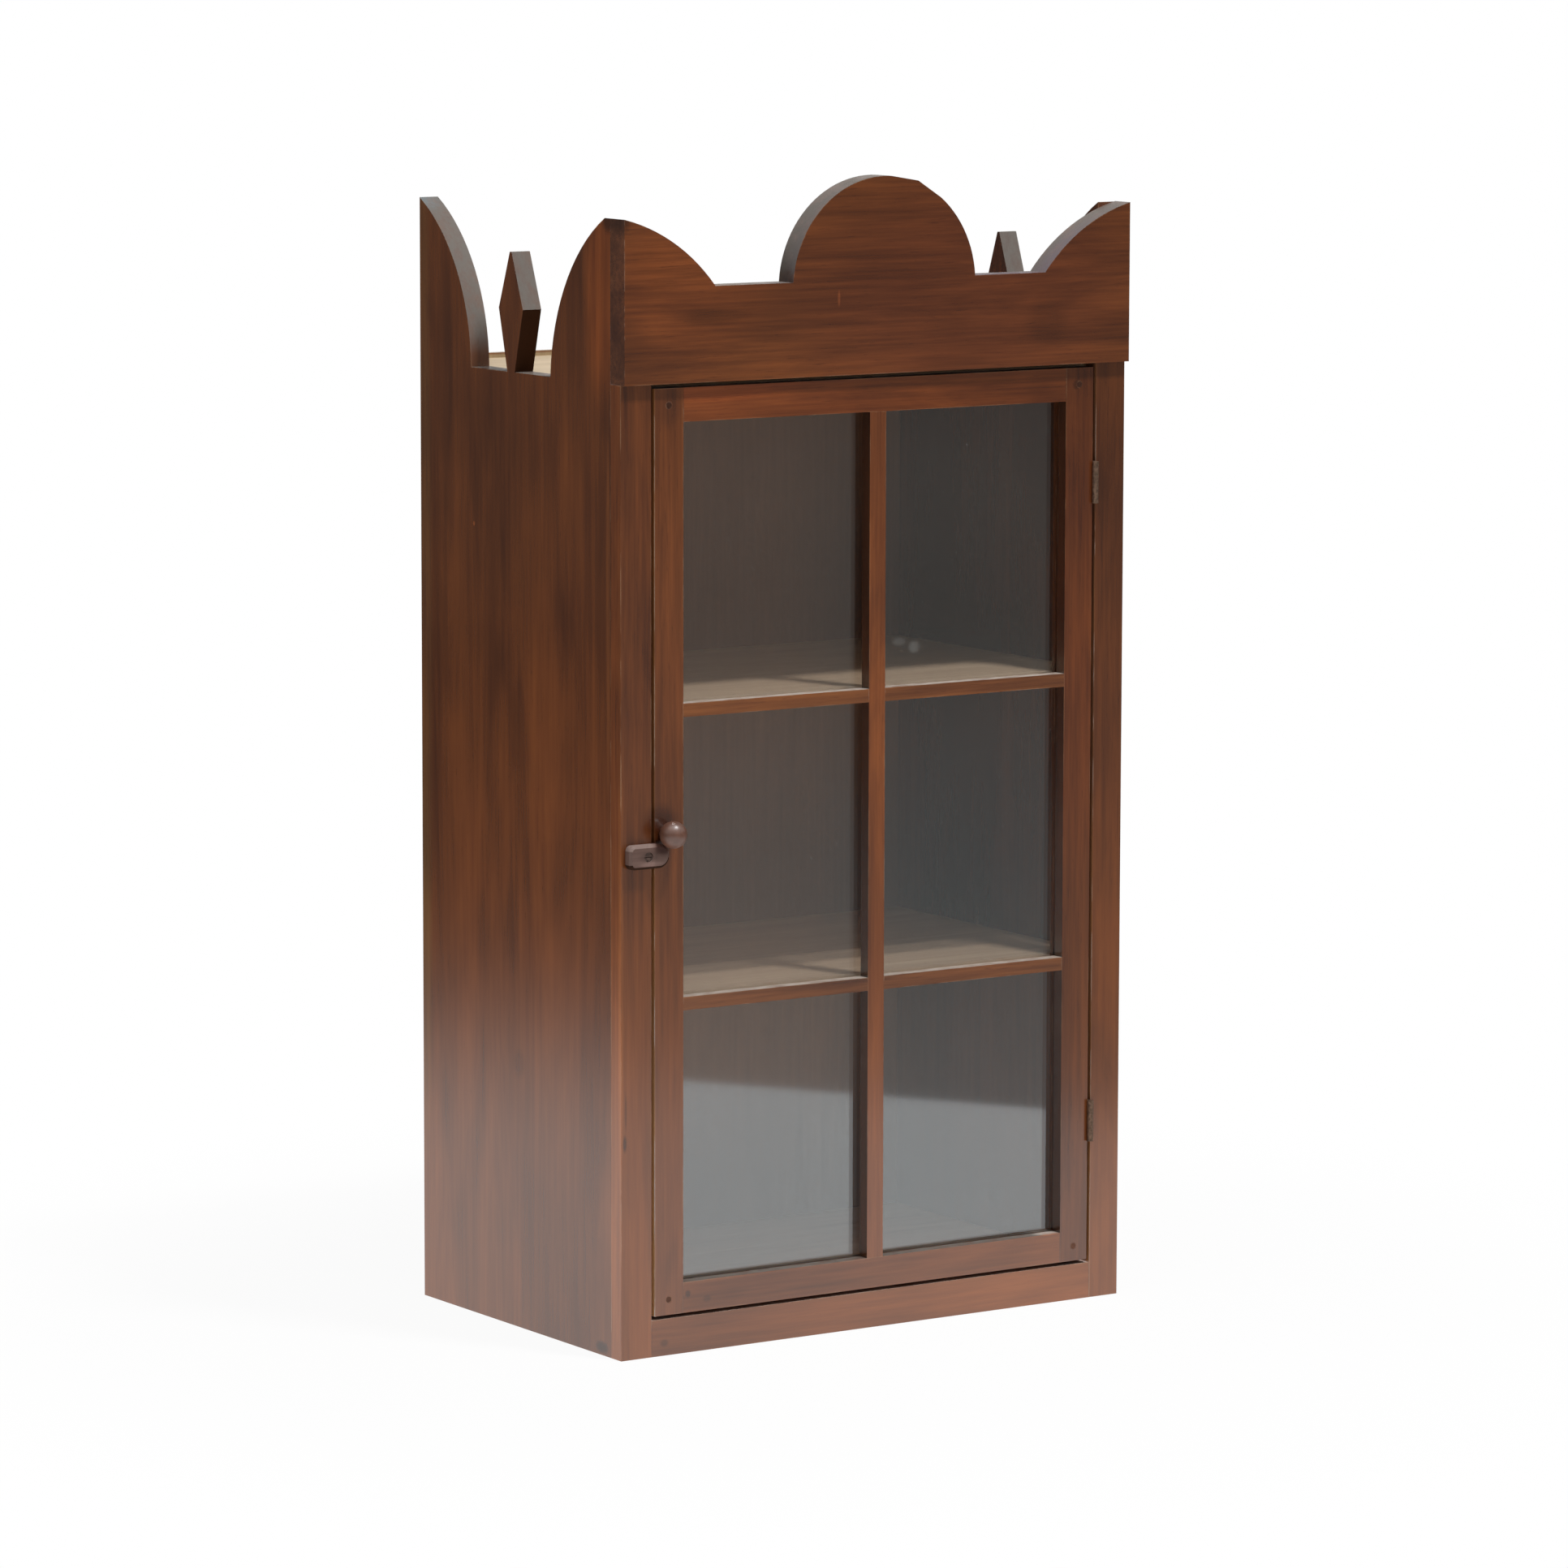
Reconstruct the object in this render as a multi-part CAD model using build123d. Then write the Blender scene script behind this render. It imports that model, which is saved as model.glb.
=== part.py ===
from build123d import *
import math
import os

os.makedirs("parts", exist_ok=True)

# Millimetres. X runs left to right, Y front to back and Z up.
# The origin is on the ground, midway between the knob's front and the back.

# Case
case_width = 360.0
case_depth = 227.0
body_height = 575.0
board_thickness = 12.7
stile_thickness = 11.0
frame_stile_width = 21.0
frame_rail_height = 22.0
frame_tenon_length = 8.0
frame_tenon_thickness = 4.0
frame_tenon_shoulder = 4.0
shelf_thickness = 9.5
shelf_setback = 18.0
housing_depth = 4.0
back_thickness = 5.0
back_rebate = 6.0
back_rise = 3.0

# Scrolled tops of the sides and of the crest
horn_radius = 114.0
front_horn_rise = 97.0
front_horn_flat = 4.0
front_horn_width = 66.3
back_horn_rise = 98.4
back_horn_width = 59.5
right_scroll_shift = 6.4
saw_margin = 10.0
crest_horn_rise = 96.0
crest_thickness = 15.5
crest_valley_rise = 55.8
crest_horn_width = 62.5
arch_radius = 65.0
arch_sink = 4.3
arch_offset = 1.5
arch_corner_angle = 21.0
arch_corner_rise = 1.0
arch_facet_angle = 17.0

# Lozenge finials, sawn in one piece with the sides
finial_height = 71.0
right_finial_height = 72.6
finial_setback = 110.7
finial_waist_height = 37.4
finial_width = 27.3
finial_base_width = 8.4
finial_tip_flat = 2.0

# Door
door_gap = 2.2
door_top_gap = 2.8
door_thickness = 12.7
door_stop_gap = 0.5
door_stile_width = 20.0
door_top_rail_height = 20.0
door_bottom_rail_height = 18.4
door_tenon_length = 14.0
door_tenon_thickness = 4.0
door_tenon_setback = 1.9
door_tenon_shoulder = 4.0
door_peg_diameter = 4.0
vertical_muntin_width = 11.5
horizontal_muntin_height = 8.0
muntin_depth = 7.8
muntin_tenon_length = 4.0
muntin_tenon_thickness = 3.0
lower_muntin_top = 213.4
upper_muntin_top = 387.2
glass_thickness = 2.0
glass_clearance = 0.5
glass_rabbet_width = 5.0

# Butt hinges
hinge_length = 25.4
hinge_leaf_width = 9.5
hinge_leaf_thickness = 1.0
knuckle_diameter = 3.8
hinge_pin_diameter = 1.9
hinge_pin_clearance = 0.05
knuckle_end_clearance = 0.1
knuckle_side_clearance = 0.1
hinge_pin_offset = 1.6
knuckles_per_hinge = 3
upper_hinge_drop = 69.7
lower_hinge_rise = 86.3

# Knob
knob_diameter = 16.2
knob_neck_diameter = 8.0
knob_standoff = 9.2
knob_spigot_diameter = 6.0
knob_spigot_length = 9.0
knob_inset = 30.5
knob_rise = 12.5

# Turn button
button_pivot_inset = 15.5
button_height = 299.3
button_door_arm = 15.0
button_frame_arm = 12.6
button_width = 14.3
button_thickness = 5.8
button_gap = 0.2
button_edge_bevel = 1.6
button_heel_round = 3.5
pivot_screw_diameter = 3.0
pivot_screw_clearance = 0.08
pivot_screw_head_diameter = 5.6
pivot_screw_head_depth = 1.4
pivot_screw_recess = 0.5
pivot_screw_embedment = 9.0
screw_slot_width = 0.8
screw_slot_depth = 0.6

# Planes and edges that several pieces share
half_width = case_width / 2
half_inside = half_width - board_thickness
knob_reach = knob_standoff + knob_diameter / 2
front_y = (knob_reach - case_depth) / 2
back_y = front_y + case_depth
stile_back_y = front_y + stile_thickness
panel_front_y = back_y - back_thickness
crest_tip_height = body_height + crest_horn_rise
crest_valley_height = body_height + crest_valley_rise
front_valley_y = stile_back_y + front_horn_width
back_valley_y = back_y - back_horn_width
top_board_base = body_height - board_thickness
bottom_board_base = frame_rail_height - board_thickness
frame_opening = half_width - frame_stile_width

door_half_width = frame_opening - door_gap
door_base = frame_rail_height + door_gap
door_top = body_height - door_top_gap
door_back_y = front_y + door_thickness
door_height = door_top - door_base
sight_half_width = door_half_width - door_stile_width
sight_base = door_base + door_bottom_rail_height
sight_top = door_top - door_top_rail_height
sight_height = sight_top - sight_base
glass_front_y = front_y + muntin_depth
glass_back_y = glass_front_y + glass_thickness

hinge_axis_x = door_half_width + door_gap / 2
hinge_axis_y = front_y - hinge_pin_offset
knuckle_radius = knuckle_diameter / 2
knuckle_height = hinge_length / knuckles_per_hinge
hinge_heights = {
    "upper": door_top - upper_hinge_drop,
    "lower": door_base + lower_hinge_rise,
}

button_x = -half_width + button_pivot_inset
button_back_y = front_y - button_gap
button_front_y = button_back_y - button_thickness
knob_x = -half_width + knob_inset
knob_height = button_height + knob_rise


def block(x0, x1, y0, y1, z0, z1):
    size = Box(x1 - x0, y1 - y0, z1 - z0)
    return Pos((x0 + x1) / 2, (y0 + y1) / 2, (z0 + z1) / 2) * size


def rod_y(x, z, y0, y1, diameter):
    """A round rod along Y."""
    turn = Pos(x, (y0 + y1) / 2, z) * Rot(90, 0, 0)
    return turn * Cylinder(diameter / 2, abs(y1 - y0))


def mirrored(shape):
    return mirror(shape, about=Plane.YZ)


def slab_x(face_edges, x0, x1):
    """Pushes a closed outline drawn in the plane x = x0 along X."""
    return extrude(make_face(face_edges), amount=x1 - x0, dir=(1, 0, 0))


def slab_y(face_edges, y0, y1):
    """Pushes a closed outline drawn in the plane y = y0 along Y."""
    return extrude(make_face(face_edges), amount=y1 - y0, dir=(0, 1, 0))


def arc_middle(start, end, radius):
    """Middle point of the bulged arc between two points of one plane."""
    across = (end[0] - start[0], end[1] - start[1])
    chord = math.hypot(*across)
    sag = radius - math.sqrt(radius**2 - (chord / 2) ** 2)
    normal = (across[1] / chord, -across[0] / chord)
    if normal[1] < 0:
        normal = (-normal[0], -normal[1])
    middle = ((start[0] + end[0]) / 2, (start[1] + end[1]) / 2)
    return middle[0] + sag * normal[0], middle[1] + sag * normal[1]


# Case boards


def finial_points(x, shift, height):
    """Corners of the lozenge from front to back; its lower point is cut off."""
    middle = stile_back_y + finial_setback - shift
    front = [
        (finial_base_width / 2, body_height),
        (finial_width / 2, body_height + finial_waist_height),
        (finial_tip_flat / 2, body_height + height),
    ]
    back = list(reversed(front))
    points = [(x, middle - y, z) for y, z in front]
    return points + [(x, middle + y, z) for y, z in back]


def side_board(x0, shift, height):
    """Side with two horns and a lozenge sawn shift nearer to its front edge."""
    front_tip = (stile_back_y + front_horn_flat - shift, body_height + front_horn_rise)
    front_foot = (front_valley_y - shift, body_height)
    back_foot = (back_valley_y - shift, body_height)
    back_tip = (back_y - shift, body_height + back_horn_rise)
    front_bulge = arc_middle(front_tip, front_foot, horn_radius)
    back_bulge = arc_middle(back_foot, back_tip, horn_radius)
    outline = [
        Polyline(
            (x0, *back_tip),
            (x0, back_y + saw_margin, back_tip[1]),
            (x0, back_y + saw_margin, 0),
            (x0, stile_back_y - saw_margin, 0),
            (x0, stile_back_y - saw_margin, front_tip[1]),
            (x0, *front_tip),
        ),
        ThreePointArc((x0, *front_tip), (x0, *front_bulge), (x0, *front_foot)),
        Polyline((x0, *front_foot), *finial_points(x0, shift, height), (x0, *back_foot)),
        ThreePointArc((x0, *back_foot), (x0, *back_bulge), (x0, *back_tip)),
    ]
    x1 = x0 + board_thickness
    board = block(x0, x1, stile_back_y, back_y, 0, back_tip[1] + saw_margin)
    return slab_x(outline, x0, x1) & board


def shelf(top):
    """Shelf housed in both sides, up to the back panel."""
    reach = half_inside + housing_depth
    start = front_y + shelf_setback
    return block(-reach, reach, start, panel_front_y, top - shelf_thickness, top)


upper_shelf = shelf(upper_muntin_top)
lower_shelf = shelf(lower_muntin_top)

top_board = block(
    -half_inside,
    half_inside,
    door_back_y + door_stop_gap,
    panel_front_y,
    top_board_base,
    body_height,
)
bottom_board = block(
    -half_inside,
    half_inside,
    stile_back_y,
    panel_front_y,
    bottom_board_base,
    frame_rail_height,
)
back_panel = block(
    -half_inside - back_rebate,
    half_inside + back_rebate,
    panel_front_y,
    back_y,
    bottom_board_base,
    body_height + back_rise,
)



def crest_horn_points():
    """Foot, middle and tip of the right horn of the crest."""
    foot = (half_width - crest_horn_width, crest_valley_height)
    tip = (half_width, crest_tip_height)
    return foot, arc_middle(foot, tip, horn_radius), tip


def above_left_crest_horn():
    """Space above the left horn of the crest, carried back over the side."""
    foot, bulge, tip = crest_horn_points()
    y0 = stile_back_y - saw_margin
    top = tip[1] + saw_margin
    curve = ThreePointArc(*((-x, y0, z) for x, z in (foot, bulge, tip)))
    rest = Polyline(
        (-tip[0], y0, tip[1]),
        (-tip[0] - saw_margin, y0, tip[1]),
        (-tip[0] - saw_margin, y0, top),
        (-foot[0], y0, top),
        (-foot[0], y0, foot[1]),
    )
    return slab_y([curve, rest], y0, front_valley_y)


left_side_panel = side_board(-half_width, 0.0, finial_height)
left_side_panel -= above_left_crest_horn()
right_side_panel = side_board(half_inside, right_scroll_shift, right_finial_height)
for housed in (upper_shelf, lower_shelf, back_panel):
    left_side_panel -= housed
    right_side_panel -= housed


# Face frame and crest


def arch_points():
    """Arch from left to right, with a hand-sawn corner right of its top."""
    centre = crest_valley_height - arch_sink

    def point(angle, radius=arch_radius):
        angle = math.radians(angle)
        return arch_offset + radius * math.sin(angle), centre + radius * math.cos(angle)

    foot_angle = math.degrees(math.acos(arch_sink / arch_radius))
    facet = arch_corner_angle - arch_facet_angle
    after = arch_corner_angle + arch_facet_angle
    return {
        "rise": [point(-foot_angle), point((facet - foot_angle) / 2), point(facet)],
        "corner": [
            point(facet),
            point(arch_corner_angle, arch_radius + arch_corner_rise),
            point(after),
        ],
        "fall": [point(after), point((after + foot_angle) / 2), point(foot_angle)],
    }


def crest():
    """Crest board: two end horns, two flat valleys and a round arch."""
    y0 = stile_back_y - crest_thickness
    foot, bulge, tip = crest_horn_points()
    arch = {
        part: [(x, y0, z) for x, z in points] for part, points in arch_points().items()
    }
    right = [(x, y0, z) for x, z in (foot, bulge, tip)]
    left = [(-x, y, z) for x, y, z in right]
    edges = [
        ThreePointArc(*arch["rise"]),
        Polyline(*arch["corner"]),
        ThreePointArc(*arch["fall"]),
        Line(arch["fall"][-1], right[0]),
        ThreePointArc(*right),
        Polyline(
            right[-1],
            (half_width, y0, body_height),
            (-half_width, y0, body_height),
            left[-1],
        ),
        ThreePointArc(*reversed(left)),
        Line(left[0], arch["rise"][0]),
    ]
    return slab_y(edges, y0, stile_back_y)


def frame_rail():
    """Bottom rail of the face frame, with a stub tenon at each end."""
    body = block(
        -frame_opening, frame_opening, front_y, stile_back_y, 0, frame_rail_height
    )
    reach = frame_opening + frame_tenon_length
    middle = (front_y + stile_back_y) / 2
    tenons = block(
        -reach,
        reach,
        middle - frame_tenon_thickness / 2,
        middle + frame_tenon_thickness / 2,
        frame_tenon_shoulder,
        frame_rail_height - frame_tenon_shoulder,
    )
    return body + tenons


crest_board = crest()
frame_bottom_rail = frame_rail()
left_frame_stile = block(
    -half_width, -frame_opening, front_y, stile_back_y, 0, body_height
)
left_frame_stile -= frame_bottom_rail
right_frame_stile = mirrored(left_frame_stile)


# Door frame, muntins and glass

glass_rabbet = block(
    -sight_half_width - glass_rabbet_width,
    sight_half_width + glass_rabbet_width,
    glass_front_y,
    door_back_y,
    sight_base - glass_rabbet_width,
    sight_top + glass_rabbet_width,
)


def door_rail(z0, z1):
    """Door rail between the stiles, tenoned at both ends."""
    body = block(-sight_half_width, sight_half_width, front_y, door_back_y, z0, z1)
    reach = sight_half_width + door_tenon_length
    tenon_front = front_y + door_tenon_setback
    tenons = block(
        -reach,
        reach,
        tenon_front,
        tenon_front + door_tenon_thickness,
        z0 + door_tenon_shoulder,
        z1 - door_tenon_shoulder,
    )
    return body + tenons - glass_rabbet


def horizontal_muntin(top):
    """Muntin between the door stiles, halved behind the vertical one."""
    base = top - horizontal_muntin_height
    body = block(
        -sight_half_width, sight_half_width, front_y, glass_front_y, base, top
    )
    reach = sight_half_width + muntin_tenon_length
    middle = (front_y + glass_front_y) / 2
    tenons = block(
        -reach,
        reach,
        middle - muntin_tenon_thickness / 2,
        middle + muntin_tenon_thickness / 2,
        base,
        top,
    )
    notch = block(
        -vertical_muntin_width / 2,
        vertical_muntin_width / 2,
        front_y,
        middle,
        base,
        top,
    )
    return body + tenons - notch


def vertical_muntin():
    """Muntin between the door rails, in one length, with stub tenons."""
    half = vertical_muntin_width / 2
    middle = (front_y + glass_front_y) / 2
    body = block(-half, half, front_y, glass_front_y, sight_base, sight_top)
    tenons = block(
        -half,
        half,
        middle - muntin_tenon_thickness / 2,
        middle + muntin_tenon_thickness / 2,
        sight_base - muntin_tenon_length,
        sight_top + muntin_tenon_length,
    )
    return body + tenons


def joint_pegs():
    """A peg through each tenon of the door, flush with both faces."""
    x = sight_half_width + door_stile_width / 2
    heights = (
        door_base + door_bottom_rail_height / 2,
        door_top - door_top_rail_height / 2,
    )
    return [
        rod_y(side * x, z, front_y, door_back_y, door_peg_diameter)
        for side in (-1, 1)
        for z in heights
    ]


def knob():
    """Turned ball knob, whose neck flares into the ball."""
    ball = knob_diameter / 2
    neck = knob_neck_diameter / 2
    spigot = knob_spigot_diameter / 2
    centre = front_y - knob_standoff
    spigot_end = front_y + knob_spigot_length
    lean = math.acos(ball / math.hypot(neck, knob_standoff))
    angle = lean + math.atan2(neck, knob_standoff)
    touch = (ball * math.sin(angle), centre + ball * math.cos(angle))
    stem = Polyline(
        (0, centre - ball),
        (0, spigot_end),
        (spigot, spigot_end),
        (spigot, front_y),
        (neck, front_y),
        touch,
    )
    head = ThreePointArc(touch, (ball, centre), (0, centre - ball))
    turned = revolve(make_face([stem, head]), axis=Axis.Y)
    return Pos(knob_x, 0, knob_height) * turned


door_top_rail = door_rail(sight_top, door_top)
door_bottom_rail = door_rail(door_base, sight_base)
door_upper_muntin = horizontal_muntin(upper_muntin_top)
door_lower_muntin = horizontal_muntin(lower_muntin_top)
door_vertical_muntin = vertical_muntin()
door_vertical_muntin -= door_upper_muntin
door_vertical_muntin -= door_lower_muntin
door_top_rail -= door_vertical_muntin
door_bottom_rail -= door_vertical_muntin
door_knob = knob()

peg_list = joint_pegs()
for door_peg in peg_list:
    door_top_rail -= door_peg
    door_bottom_rail -= door_peg
door_joint_pegs = Compound(peg_list)

door_latch_stile = block(
    -door_half_width, -sight_half_width, front_y, door_back_y, door_base, door_top
)
for part in (
    glass_rabbet,
    door_top_rail,
    door_bottom_rail,
    door_upper_muntin,
    door_lower_muntin,
    *peg_list,
):
    door_latch_stile -= part
door_hinge_stile = mirrored(door_latch_stile)
door_latch_stile -= door_knob

glass_margin = glass_rabbet_width - glass_clearance
door_glass = block(
    -sight_half_width - glass_margin,
    sight_half_width + glass_margin,
    glass_front_y,
    glass_back_y,
    sight_base - glass_margin,
    sight_top + glass_margin,
)

bead_reach = sight_half_width + glass_rabbet_width
bottom_glass_bead = block(
    -bead_reach,
    bead_reach,
    glass_back_y,
    door_back_y,
    sight_base - glass_rabbet_width,
    sight_base,
)
top_glass_bead = block(
    -bead_reach,
    bead_reach,
    glass_back_y,
    door_back_y,
    sight_top,
    sight_top + glass_rabbet_width,
)
left_glass_bead = block(
    -bead_reach,
    -sight_half_width,
    glass_back_y,
    door_back_y,
    sight_base,
    sight_top,
)
right_glass_bead = mirrored(left_glass_bead)


# Hinges


def upright(z0, z1, diameter):
    """A round rod on the hinge axis."""
    rod = Cylinder(diameter / 2, z1 - z0)
    return Pos(hinge_axis_x, hinge_axis_y, (z0 + z1) / 2) * rod


def knuckle_span(base, index):
    """Bottom and top of one knuckle, less its end clearance."""
    z0 = base + index * knuckle_height
    return z0 + knuckle_end_clearance / 2, z0 + knuckle_height - knuckle_end_clearance / 2


def hinge_leaf(height, x0, own, bore_diameter):
    """A leaf with the knuckles numbered in own, bored for the pin."""
    base = height - hinge_length / 2
    x1 = x0 + hinge_leaf_thickness
    back = hinge_axis_y + hinge_leaf_width
    plate = block(x0, x1, front_y, back, base, base + hinge_length)
    relief = knuckle_diameter + 2 * knuckle_side_clearance
    for index in range(knuckles_per_hinge):
        z0, z1 = knuckle_span(base, index)
        if index in own:
            plate += block(x0, x1, hinge_axis_y, front_y, z0, z1)
            plate += upright(z0, z1, knuckle_diameter)
        else:
            full = base + index * knuckle_height
            plate -= upright(full, full + knuckle_height, relief)
    return plate - upright(base, base + hinge_length, bore_diameter)


frame_leaf_x = frame_opening - hinge_leaf_thickness
door_leaf_x = door_half_width
frame_knuckles = range(0, knuckles_per_hinge, 2)
door_knuckles = range(1, knuckles_per_hinge, 2)
running_bore = hinge_pin_diameter + 2 * hinge_pin_clearance

for name, height in hinge_heights.items():
    frame_leaf = hinge_leaf(height, frame_leaf_x, frame_knuckles, hinge_pin_diameter)
    door_leaf = hinge_leaf(height, door_leaf_x, door_knuckles, running_bore)
    pin = upright(height - hinge_length / 2, height + hinge_length / 2, hinge_pin_diameter)
    export_step(frame_leaf, f"parts/{name}_hinge_frame_leaf.step")
    export_step(door_leaf, f"parts/{name}_hinge_door_leaf.step")
    export_step(pin, f"parts/{name}_hinge_pin.step")


# Turn button and its pivot screw


def button_body():
    """Flat button: a round nose over the door and a squarer heel."""
    radius = button_width / 2
    nose = rod_y(
        button_x + button_door_arm - radius,
        button_height,
        button_front_y,
        button_back_y,
        button_width,
    )
    heel = block(
        button_x - button_frame_arm,
        button_x + button_door_arm - radius,
        button_front_y,
        button_back_y,
        button_height - radius,
        button_height + radius,
    )
    heel_edges = heel.edges().filter_by(Axis.Y).sort_by(Axis.X)[:2]
    body = nose + fillet(heel_edges, button_heel_round)
    front_edges = body.faces().sort_by(Axis.Y)[0].edges()
    return chamfer(front_edges, button_edge_bevel)


def pivot_screw():
    """Slotted countersunk screw on which the button turns."""
    head_front = button_front_y + pivot_screw_recess
    head_back = head_front + pivot_screw_head_depth
    tip = front_y + pivot_screw_embedment
    cone = Pos(button_x, head_front, button_height) * Rot(90, 0, 0) * Cone(
        pivot_screw_diameter / 2,
        pivot_screw_head_diameter / 2,
        pivot_screw_head_depth,
        align=(Align.CENTER, Align.CENTER, Align.MAX),
    )
    shank = rod_y(button_x, button_height, head_back, tip, pivot_screw_diameter)
    slot = block(
        button_x - pivot_screw_head_diameter / 2,
        button_x + pivot_screw_head_diameter / 2,
        head_front,
        head_front + screw_slot_depth,
        button_height - screw_slot_width / 2,
        button_height + screw_slot_width / 2,
    )
    return cone + shank - slot


def pivot_bore():
    """Clearance hole of the button, with its countersink."""
    head_front = button_front_y + pivot_screw_recess
    bore = pivot_screw_diameter + 2 * pivot_screw_clearance
    sink = pivot_screw_head_diameter + 2 * pivot_screw_clearance
    hole = rod_y(button_x, button_height, button_front_y, button_back_y, bore)
    cone = Pos(button_x, head_front, button_height) * Rot(90, 0, 0) * Cone(
        bore / 2,
        sink / 2,
        pivot_screw_head_depth + pivot_screw_clearance,
        align=(Align.CENTER, Align.CENTER, Align.MAX),
    )
    mouth = rod_y(button_x, button_height, button_front_y, head_front, sink)
    return hole + cone + mouth


turn_button_screw = pivot_screw()
turn_button = button_body() - pivot_bore()
left_frame_stile -= turn_button_screw

nodes = {
    "left_side_panel": left_side_panel,
    "right_side_panel": right_side_panel,
    "top_board": top_board,
    "bottom_board": bottom_board,
    "back_panel": back_panel,
    "upper_shelf": upper_shelf,
    "lower_shelf": lower_shelf,
    "crest_board": crest_board,
    "left_frame_stile": left_frame_stile,
    "right_frame_stile": right_frame_stile,
    "frame_bottom_rail": frame_bottom_rail,
    "door_latch_stile": door_latch_stile,
    "door_hinge_stile": door_hinge_stile,
    "door_top_rail": door_top_rail,
    "door_bottom_rail": door_bottom_rail,
    "door_vertical_muntin": door_vertical_muntin,
    "door_upper_muntin": door_upper_muntin,
    "door_lower_muntin": door_lower_muntin,
    "door_joint_pegs": door_joint_pegs,
    "door_glass": door_glass,
    "bottom_glass_bead": bottom_glass_bead,
    "top_glass_bead": top_glass_bead,
    "left_glass_bead": left_glass_bead,
    "right_glass_bead": right_glass_bead,
    "door_knob": door_knob,
    "turn_button": turn_button,
    "turn_button_screw": turn_button_screw,
}
for node, shape in nodes.items():
    export_step(shape, f"parts/{node}.step")
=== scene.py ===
import math

import bmesh
import bpy
from mathutils import Matrix, Vector


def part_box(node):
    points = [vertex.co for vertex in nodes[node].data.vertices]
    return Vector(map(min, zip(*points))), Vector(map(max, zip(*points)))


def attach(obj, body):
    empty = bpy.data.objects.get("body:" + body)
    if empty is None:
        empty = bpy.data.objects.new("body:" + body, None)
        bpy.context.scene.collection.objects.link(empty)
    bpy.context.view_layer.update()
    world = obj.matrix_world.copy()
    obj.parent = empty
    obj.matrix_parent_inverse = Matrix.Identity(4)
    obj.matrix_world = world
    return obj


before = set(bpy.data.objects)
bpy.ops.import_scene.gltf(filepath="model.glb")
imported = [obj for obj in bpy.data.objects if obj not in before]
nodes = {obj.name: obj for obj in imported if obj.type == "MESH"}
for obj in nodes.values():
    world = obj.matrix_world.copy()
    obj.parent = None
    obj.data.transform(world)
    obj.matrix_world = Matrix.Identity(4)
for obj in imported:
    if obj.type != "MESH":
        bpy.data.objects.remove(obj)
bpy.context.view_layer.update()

MM = 0.001

# Colours are linear RGB.
WHITE = (1.0, 1.0, 1.0)
STAIN_DARK = (0.040, 0.0100, 0.0036)
STAIN_LIGHT = (0.205, 0.0580, 0.0135)
# Stain of the foot under painted light from the floor's bounce.
STAIN_FOOT_LIT = (0.215, 0.0615, 0.0120)
STAIN_WORN = (0.260, 0.140, 0.075)
KNOB_DARK = (0.082, 0.033, 0.020)
KNOB_LIGHT = (0.172, 0.074, 0.045)
PEG_DARK = (0.034, 0.013, 0.008)
PEG_LIGHT = (0.066, 0.030, 0.019)
BUTTON_DARK = (0.085, 0.048, 0.038)
BUTTON_LIGHT = (0.185, 0.115, 0.095)
# Dust with painted sheen, for the turn button's top.
BUTTON_TOP_DUST_AND_SHEEN = (0.270, 0.195, 0.170)
# Dust with painted sheen, for faces that look up.
DUST_AND_SHEEN = (0.165, 0.150, 0.135)
# Dust with painted light, for the tops of the frame's bottom rail and of the muntins.
LEDGE_DUST_AND_LIGHT = (0.380, 0.280, 0.210)
# Darker colour of faces that look down.
UNDERSIDE_DARK = (0.020, 0.0090, 0.0050)
BACK_DARK = (0.17, 0.068, 0.027)
BACK_LIGHT = (0.28, 0.120, 0.052)
BACK_LEDGE = (0.400, 0.340, 0.270)
SHELF_DARK = (0.50, 0.34, 0.235)
SHELF_LIGHT = (0.70, 0.51, 0.37)
TOP_DARK = (0.38, 0.28, 0.17)
TOP_LIGHT = (0.54, 0.42, 0.27)
BRASS_DULL = (0.17, 0.105, 0.070)
STEEL_DARK = (0.110, 0.072, 0.060)
STEEL_LIGHT = (0.34, 0.30, 0.26)
GLASS_CLEAR = (0.95, 0.96, 0.95)
GLASS_MIRROR = (0.94, 0.98, 1.0)
GLASS_DUST = (0.56, 0.56, 0.54)

# Weights of the broad figure, the fine streaks and the stain's blotches in the wood's tone,
# and what keeps its mean at one half.
FIGURE_WEIGHT = 0.29
STREAK_WEIGHT = 0.68
BLOTCH_WEIGHT = 0.58
TONE_BASE = 0.065
STREAK_BASE = 0.16
# Tones that get the dark, the middle and the light colour, and the middle's share of dark.
TONE_STOPS = (0.39, 0.5, 0.61)
MIDDLE_DARK = 0.55
PORE_EDGES = (0.62, 0.74)
PORE_DEPTH = 0.40
RELIEF_DEPTH = 0.15 * MM
NOISE_ROUGH = 0.62
# Roughness as it falls with the blotches' tone, and what that is added to.
ROUGH_SLOPE, ROUGH_BASE = -0.25, 0.12
VARNISH_IOR = 1.8

# Heights where the painted light of the floor's bounce on the foot starts and where it is full.
FOOT = (0.40, 0.04)
# Gains of the foot's stain under painted light from the floor, on its light and dark grain,
# and the tones that get them.
FOOT_LIT_PALE, FOOT_LIT_DEEP = 1.35, 0.70
FOOT_LIT_STOPS = (0.40, 0.60)
WORN_WIDTH = 1.2 * MM
# Least X part of the normal of a face that looks sideways.
SIDEWAYS = 0.7
# Up part of the normal at which a face that looks up starts to get dust with painted sheen
# and gets it in full, and the same for a face that looks down, which is made darker.
DUST_AND_SHEEN_FACING = (0.01, 0.22)
UNDERSIDE_FACING = (-0.05, -0.20)
DUST_AND_SHEEN_COVER, DUST_AND_SHEEN_SPECKLE = 0.60, 0.35
UNDERSIDE_DARK_COVER = 0.92

# Share of a patch's radii within which it has its full gain.
PATCH_CORE = 0.35

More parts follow.
